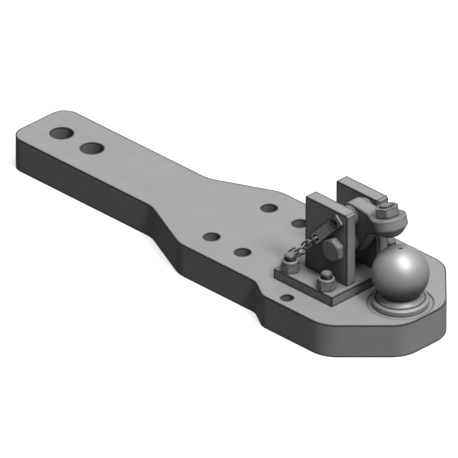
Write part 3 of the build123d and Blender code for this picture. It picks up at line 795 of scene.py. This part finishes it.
# %% [markdown]
# The camera
#
# The picture is a parallel view from 45 degrees to the side and 30 degrees above. A camera that
# stands 26 m away with a very long lens gives nearly that, and it can be turned round the object
# like any other. It is aimed from the ball's foot, by two distances across and up the picture.

# %% Camera
VIEW_AZIMUTH = np.radians(45)
VIEW_ELEVATION = np.radians(30)
FRAME_WIDTH = 0.6265
LENS = 1500.0
SENSOR = 36.0
ACROSS = -0.2344
ABOVE = 0.1003

toward = np.array([np.sin(VIEW_AZIMUTH) * np.cos(VIEW_ELEVATION),
                   -np.cos(VIEW_AZIMUTH) * np.cos(VIEW_ELEVATION), np.sin(VIEW_ELEVATION)])
right = np.array([np.cos(VIEW_AZIMUTH), np.sin(VIEW_AZIMUTH), 0.0])
up = np.cross(toward, right)
aim = np.array([ball_axis[0], ball_axis[1], plate_top]) + right * ACROSS + up * ABOVE
distance = FRAME_WIDTH * LENS / SENSOR
lens = bpy.data.cameras.new("long_lens")
lens.lens = LENS
lens.sensor_width = SENSOR
lens.clip_start = 1.0
lens.clip_end = 200.0
camera = bpy.data.objects.new("camera", lens)
camera.location = Vector(aim + toward * distance)
camera.rotation_euler = Vector(toward).to_track_quat("Z", "Y").to_euler()
bpy.context.scene.collection.objects.link(camera)
bpy.context.scene.camera = camera
print("camera", round(distance, 1), "m from its aim")

# %% [markdown]
# The suns
#
# Tops are palest, the faces to the right are a middle grey, and the long near side is dark. So
# the main light is broad and comes from almost straight above, a smaller one comes from the
# ball's end, and two weak ones touch the right edges and the back.

# %% Suns


def sun(name, direction, strength, spread, mirrored=True):
    """A sun that shines from a direction; spread is the angle in degrees that softens its shadows.

    One that isn't mirrored lights the far sides without a sheen on the flat tops.
    """
    lamp = bpy.data.lights.new(name, "SUN")
    lamp.energy = strength
    lamp.angle = np.radians(spread)
    holder = bpy.data.objects.new(name, lamp)
    holder.rotation_euler = Vector(direction).to_track_quat("Z", "Y").to_euler()
    holder.visible_glossy = mirrored
    bpy.context.scene.collection.objects.link(holder)


sun("overhead_key", (0.235, -0.01, 0.972), 3.8, 36)
sun("front_key", (0.635, -0.10, 0.76), 2.2, 12)
sun("right_edge_glint", (0.56, 0.61, 0.56), 0.25, 20)
sun("back_fill", (-0.75, 0.62, 0.20), 1.1, 40, mirrored=False)
print("suns", len(bpy.data.lights))

# %% [markdown]
# The white surroundings
#
# White paper all round would light the steel from every side and flatten it. So the world is
# white only where the camera looks straight at it, a dimmer white where it is mirrored in
# metal, and nearly dark for the light that falls on the object.

# %% World
MIRRORED = 0.3
AMBIENT = 0.004

world = bpy.data.worlds.new("studio")
bpy.context.scene.world = world
world.use_nodes = True
backdrop = world.node_tree.nodes["Background"]
backdrop.inputs["Color"].default_value = (1, 1, 1, 1)


def seen_share(tree):
    """1 where the camera sees a thing directly, MIRRORED where metal or glass shows it, else 0."""
    ray = add(tree, "ShaderNodeLightPath").outputs
    indirect = add(tree, "ShaderNodeMath", {"operation": "ADD"},
                   _0=ray["Is Glossy Ray"], _1=ray["Is Transmission Ray"])
    share = add(tree, "ShaderNodeMath", {"operation": "MULTIPLY_ADD", 1: MIRRORED},
                _0=indirect.outputs[0], _2=ray["Is Camera Ray"])
    return share.outputs[0]


world_strength = add(world.node_tree, "ShaderNodeMapRange", {"To Min": AMBIENT, "To Max": 1.0},
                     Value=seen_share(world.node_tree))
world.node_tree.links.new(world_strength.outputs["Result"], backdrop.inputs["Strength"])
print("world seen at 1, mirrored at", MIRRORED, "and lighting at", AMBIENT)

# %% [markdown]
# The floor
#
# The floor is white paper that keeps a faint shadow of the object. Seen directly, its pale
# colour and a glow add up to white. The light that it throws back on the steel is kept low by
# a dark colour for all other rays.

# %% Floor
FLOOR_REACH = 6.0
FLOOR_DROP = 0.0005
PAPER_GLOW = 0.66

square = np.array([[-1, -1], [1, -1], [1, 1], [-1, 1]]) * FLOOR_REACH
floor = mesh_from("floor", np.column_stack([square, np.full(4, -FLOOR_DROP)]), [[0, 1, 2, 3]])
floor_paper = bpy.data.materials.new("white_paper_floor")
floor_paper.use_nodes = True
paper_tree = floor_paper.node_tree
paper = paper_tree.nodes["Principled BSDF"]
paper.inputs["Roughness"].default_value = 0.9
paper.inputs["Emission Color"].default_value = (1, 1, 1, 1)
floor_rays = add(paper_tree, "ShaderNodeLightPath")
paper_colour = add(paper_tree, "ShaderNodeMix",
                   {"data_type": "RGBA", 6: linear("#141414"), 7: linear("#9A9A9A")},
                   _0=floor_rays.outputs["Is Camera Ray"])
paper_tree.links.new(paper_colour.outputs[2], paper.inputs["Base Color"])
glow = add(paper_tree, "ShaderNodeMath", {"operation": "MULTIPLY", 1: PAPER_GLOW},
           _0=seen_share(paper_tree))
paper_tree.links.new(glow.outputs[0], paper.inputs["Emission Strength"])
floor.data.materials.append(floor_paper)

bpy.context.scene.view_settings.view_transform = "Standard"
print("floor", 2 * FLOOR_REACH, "m square")
